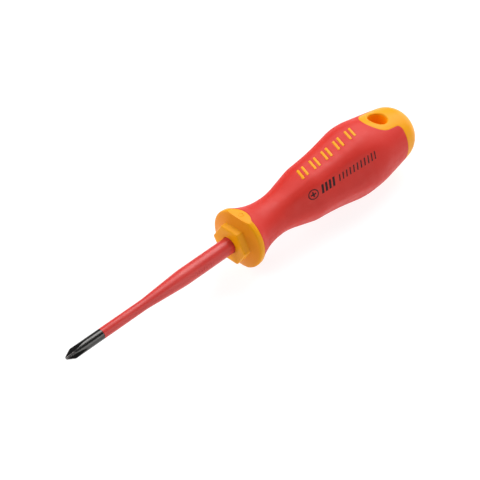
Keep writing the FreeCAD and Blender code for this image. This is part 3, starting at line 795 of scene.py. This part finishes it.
def cross_loop(reach, half):
    """Upright cross round the start of the print."""
    corners = [(half, half), (half, reach), (-half, reach), (-half, half), (-reach, half), (-reach, -half),
               (-half, -half), (-half, -reach), (half, -reach), (half, -half), (reach, -half), (reach, half)]
    return np.array(corners[::-1])


def stroke_loop(along, height, width, lean):
    """Leaning stroke with its corners a little rounded."""
    low, high = -height / 2, height / 2
    corners = [(along, low), (along + width, low), (along + width + lean, high), (along + lean, high)]
    return rounded_loop(corners, STROKE_CORNER, INK_SPACING)


# Materials -----------------------------------------------------------------------------------------------

def new_material(name, **sockets):
    """Principled material with its even values set on the shader's own sockets."""
    material = bpy.data.materials.new(name)
    material.use_nodes = True
    shader = material.node_tree.nodes["Principled BSDF"]
    for socket, value in sockets.items():
        shader.inputs[socket.replace("_", " ")].default_value = value
    return material, shader


def noise(material, scale, detail=3.0, roughness=0.5, stretch=(1, 1, 1)):
    """Noise in the CAD's frame, with its scale per metre."""
    tree = material.node_tree
    where = tree.nodes.new("ShaderNodeTexCoord")
    mapping = tree.nodes.new("ShaderNodeMapping")
    texture = tree.nodes.new("ShaderNodeTexNoise")
    tree.links.new(where.outputs["Object"], mapping.inputs["Vector"])
    mapping.inputs["Scale"].default_value = stretch
    tree.links.new(mapping.outputs["Vector"], texture.inputs["Vector"])
    texture.inputs["Scale"].default_value = scale
    texture.inputs["Detail"].default_value = detail
    texture.inputs["Roughness"].default_value = roughness
    return texture.outputs["Fac"]


def remapped(material, value, low, high, start=0.3, end=0.7):
    """A value that runs from low to high while another runs from start to end."""
    node = material.node_tree.nodes.new("ShaderNodeMapRange")
    material.node_tree.links.new(value, node.inputs["Value"])
    for socket, number in zip(("From Min", "From Max", "To Min", "To Max"), (start, end, low, high)):
        node.inputs[socket].default_value = number
    return node.outputs["Result"]


def mixed(material, share, first, second):
    """Colour between two others. Each may be a colour or another node's output."""
    node = material.node_tree.nodes.new("ShaderNodeMix")
    node.data_type = "RGBA"
    material.node_tree.links.new(share, node.inputs["Factor"])
    for socket, colour in ((node.inputs["A"], first), (node.inputs["B"], second)):
        colour_socket = next(s for s in node.inputs if s.type == "RGBA" and s.name == socket.name)
        if isinstance(colour, bpy.types.NodeSocket):
            material.node_tree.links.new(colour, colour_socket)
        else:
            colour_socket.default_value = (*colour, 1)
    return next(s for s in node.outputs if s.type == "RGBA")


def bumped(material, shader, height, distance, strength=1.0, base=None):
    """Bump the shader's normal by a height, on top of another bump if there is one."""
    node = material.node_tree.nodes.new("ShaderNodeBump")
    node.inputs["Strength"].default_value = strength
    node.inputs["Distance"].default_value = distance
    material.node_tree.links.new(height, node.inputs["Height"])
    if base is not None:
        material.node_tree.links.new(base, node.inputs["Normal"])
    material.node_tree.links.new(node.outputs["Normal"], shader.inputs["Normal"])
    return node.outputs["Normal"]


def moulded(name, colours, shine, grain, scuff, gloss=0.4, painted_glow=0.0):
    """Moulded plastic or rubber: slow colour drift, fine moulded grain and a few duller, paler rubs.

    The glow is painted light: it lifts a shaded wall to the look of the real one. It is a stand-in, not a
    measured property.
    """
    material, shader = new_material(name, Specular_IOR_Level=gloss, Emission_Color=(*colours[0], 1),
                                    Emission_Strength=painted_glow)
    link = material.node_tree.links.new
    drift = remapped(material, noise(material, scale=45, detail=2), 0, 1)
    speck = remapped(material, noise(material, scale=2600, detail=2), 0, 0.25, start=0.45, end=0.75)
    streaks = noise(material, scale=160, detail=6, roughness=0.65, stretch=(0.35, 1, 1))
    rub = remapped(material, streaks, 0, scuff, start=0.58, end=0.74)
    colour = mixed(material, drift, colours[0], colours[1])
    colour = mixed(material, speck, colour, colours[1])
    colour = mixed(material, rub, colour, colours[2])
    link(colour, shader.inputs["Base Color"])
    link(remapped(material, noise(material, scale=320, detail=4), *shine), shader.inputs["Roughness"])
    waves = noise(material, scale=220, detail=3)
    slow = bumped(material, shader, waves, distance=grain * 2.5, strength=0.35)
    pores = noise(material, scale=3400, detail=3, roughness=0.6)
    bumped(material, shader, pores, distance=grain, base=slow)
    return material


def maths(material, operation, *values):
    """Result of a Math node. Each value may be a number or another node's output."""
    node = material.node_tree.nodes.new("ShaderNodeMath")
    node.operation = operation
    for socket, value in zip(node.inputs, values):
        if isinstance(value, bpy.types.NodeSocket):
            material.node_tree.links.new(value, socket)
        else:
            socket.default_value = value
    return node.outputs[0]


def frame_position(material):
    """Place of a point in the CAD's frame, as its x, y and z in metres."""
    split = material.node_tree.nodes.new("ShaderNodeSeparateXYZ")
    where = material.node_tree.nodes.new("ShaderNodeTexCoord")
    material.node_tree.links.new(where.outputs["Object"], split.inputs[0])
    return split.outputs


def paint_shade_on_guard_face(material, colour):
    """Paint shade on the face of the guard as a deeper orange, fitted to the look of that shaded face.
    Tint the face of the guard a deeper orange, which is fitted to the look. Its cause isn't known.
    """
    x, _, _ = frame_position(material)
    behind_bolster = remapped(material, x, 0, 1, *GUARD_PAINTED_SHADE_START)
    before_rim = remapped(material, x, 1, 0, *GUARD_PAINTED_SHADE_END)
    # Painted shade: the mask covers the guard's face between the foot of the bolster and the rim.
    face = maths(material, "MULTIPLY", behind_bolster, before_rim)
    base = material.node_tree.nodes["Principled BSDF"].inputs["Base Color"]
    material.node_tree.links.new(mixed(material, face, base.links[0].from_socket, colour), base)
    return material


def wing_wear_and_highlight(material):
    """Mask of the narrow lands that the flutes leave on the cone, where the oxide rubs off first and a
    highlight is painted.
    """
    x, y, z = frame_position(material)
    squares = [maths(material, "MULTIPLY", side, side) for side in (y, z)]
    radius = maths(material, "SQRT", maths(material, "ADD", *squares))
    cone = maths(material, "MULTIPLY_ADD", x, math.tan(POINT_ANGLE), TIP_FLAT_RADIUS * MM)
    land = remapped(material, maths(material, "DIVIDE", radius, cone), 0, 0.8, *LAND_SHARE)
    ahead = remapped(material, x, 1, 0, *WING_WEAR_AND_HIGHLIGHT_FADE)
    return maths(material, "MULTIPLY", land, ahead)


def blackened_steel(name):
    """Black-oxide steel with fine turning marks round the bar and brighter worn patches, and at the point
    wing lands that are worn oxide and painted highlight.
    """
    material, shader = new_material(name, Metallic=0.75, IOR=2.0)
    link = material.node_tree.links.new
    drift = remapped(material, noise(material, scale=500, detail=4), 0, 1)
    patches = noise(material, scale=1500, detail=5, roughness=0.65)
    worn = remapped(material, patches, 0, 0.2, start=0.62, end=0.75)
    colour = mixed(material, drift, *STEEL)
    colour = mixed(material, worn, colour, WORN_STEEL)
    # Worn oxide and painted highlight on the wing lands at the point.
    link(mixed(material, wing_wear_and_highlight(material), colour, WING_WEAR_AND_HIGHLIGHT_STEEL), shader.inputs["Base Color"])
    link(remapped(material, noise(material, scale=900, detail=4), 0.19, 0.24), shader.inputs["Roughness"])
    rings = noise(material, scale=260, detail=2, stretch=(18, 0.6, 0.6))
    bumped(material, shader, rings, distance=0.000005, strength=0.2)
    return material


def dress_core(material):
    """The hidden core keeps its CAD shape and gets a moulded finish."""
    core = frame["nodes"]["tang_core"]
    core.data.materials.clear()
    core.data.materials.append(material)


# Stage ---------------------------------------------------------------------------------------------------

def make_floor():
    """Pale floor just under the handle, softly mottled. It glows like a light table, so it reads as white."""
    side = FLOOR_HALF_SIDE
    level = cad_box[0][2] - FLOOR_DROP
    piece = bpy.data.meshes.new("floor")
    corners = [(-side, -side, level), (side, -side, level), (side, side, level), (-side, side, level)]
    piece.from_pydata(corners, [], [(0, 1, 2, 3)])
    material, shader = new_material("pale_floor", Roughness=0.9, Emission_Color=(1, 1, 1, 1),
                                    Emission_Strength=FLOOR_GLOW)
    paper = remapped(material, noise(material, scale=12, detail=3), 0, 1)
    material.node_tree.links.new(mixed(material, paper, *FLOOR_GREYS), shader.inputs["Base Color"])
    piece.materials.append(material)
    floor = bpy.data.objects.new("floor", piece)
    bpy.context.scene.collection.objects.link(floor)


def look_at(position, target, roll=0.0):
    """Matrix of a camera or light at a position, with its -Z towards the target."""
    back = (Vector(position) - Vector(target)).normalized()
    right = Vector((0, 0, 1)).cross(back).normalized()
    up = back.cross(right)
    turned = right * math.cos(roll) + up * math.sin(roll)
    matrix = Matrix((turned, back.cross(turned), back)).transposed().to_4x4()
    matrix.translation = position
    return matrix


def add_softbox(name, direction, size, power, target):
    """White rectangular light that faces the target."""
    light = bpy.data.lights.new(name, "AREA")
    light.shape = "RECTANGLE"
    light.size, light.size_y = size
    light.energy = power
    box = bpy.data.objects.new(name, light)
    box.matrix_world = look_at(target + Vector(direction).normalized() * SOFTBOX_DISTANCE, target)
    bpy.context.scene.collection.objects.link(box)


def add_lights():
    """Softboxes round the tool, in a dim white surround."""
    middle = (Vector(cad_box[0]) + Vector(cad_box[1])) / 2
    for name, direction, size, power in SOFTBOXES:
        add_softbox(name, direction, size, power, middle)
    world = bpy.data.worlds.new("studio")
    world.use_nodes = True
    background = world.node_tree.nodes["Background"]
    background.inputs["Color"].default_value = (1, 1, 1, 1)
    background.inputs["Strength"].default_value = WORLD_STRENGTH
    bpy.context.scene.world = world


def add_camera():
    """Long lens that looks down on the tool from the side of its tip."""
    target = Vector(CAMERA_TARGET) * MM
    level = math.cos(CAMERA_ELEVATION)
    back = Vector((math.sin(CAMERA_AZIMUTH) * level, -math.cos(CAMERA_AZIMUTH) * level,
                   math.sin(CAMERA_ELEVATION)))
    data = bpy.data.cameras.new("camera")
    data.lens = 100
    data.sensor_width = 36
    data.clip_start = 0.01
    camera = bpy.data.objects.new("camera", data)
    camera.matrix_world = look_at(target + back * CAMERA_DISTANCE * MM, target, CAMERA_ROLL)
    bpy.context.scene.collection.objects.link(camera)
    bpy.context.scene.camera = camera


def main():
    """Build each piece round its CAD part, then the studio."""
    pieces = [
        (make_grip(moulded("red_rubber", RED, shine=(0.46, 0.58), grain=0.00002, scuff=0.22, gloss=0.3)),
         "grip", "grip_rubber"),
        (make_handle(
            # Painted shade: the yellow plastic gets a deeper orange on the guard's face.
            paint_shade_on_guard_face(moulded("yellow_plastic", YELLOW, shine=(0.36, 0.46), grain=0.000008,
                                      scuff=0.12, gloss=0.16), GUARD_FACE_PAINTED_SHADE),
            # Painted light: the bore's brighter orange and faint glow stand in for light through the plastic
            # round the hole.
            moulded("yellow_bore_painted_light", BORE_PAINTED_LIGHT_ORANGE, shine=(0.4, 0.5), grain=0.000008, scuff=0.0,
                    gloss=0.08, painted_glow=0.05)),
         "handle_body", "handle_plastic"),
        (make_sleeve(moulded("red_sleeve", SLEEVE_RED, shine=(0.34, 0.44), grain=0.00001, scuff=0.2)),
         "blade_insulation", "insulation"),
        (make_blade(blackened_steel("black_steel")), "blade", "blade_steel"),
    ]
    for piece, node, slot in pieces:
        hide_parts(node)
    ink = moulded("black_ink", INK, shine=(0.45, 0.6), grain=0.000008, scuff=0.4, gloss=0.2)
    make_print(ink)
    dress_core(moulded("ivory_core", IVORY, shine=(0.45, 0.55), grain=0.00002, scuff=0.2))
    bpy.context.scene.view_settings.view_transform = "Standard"
    make_floor()
    add_lights()
    add_camera()


main()
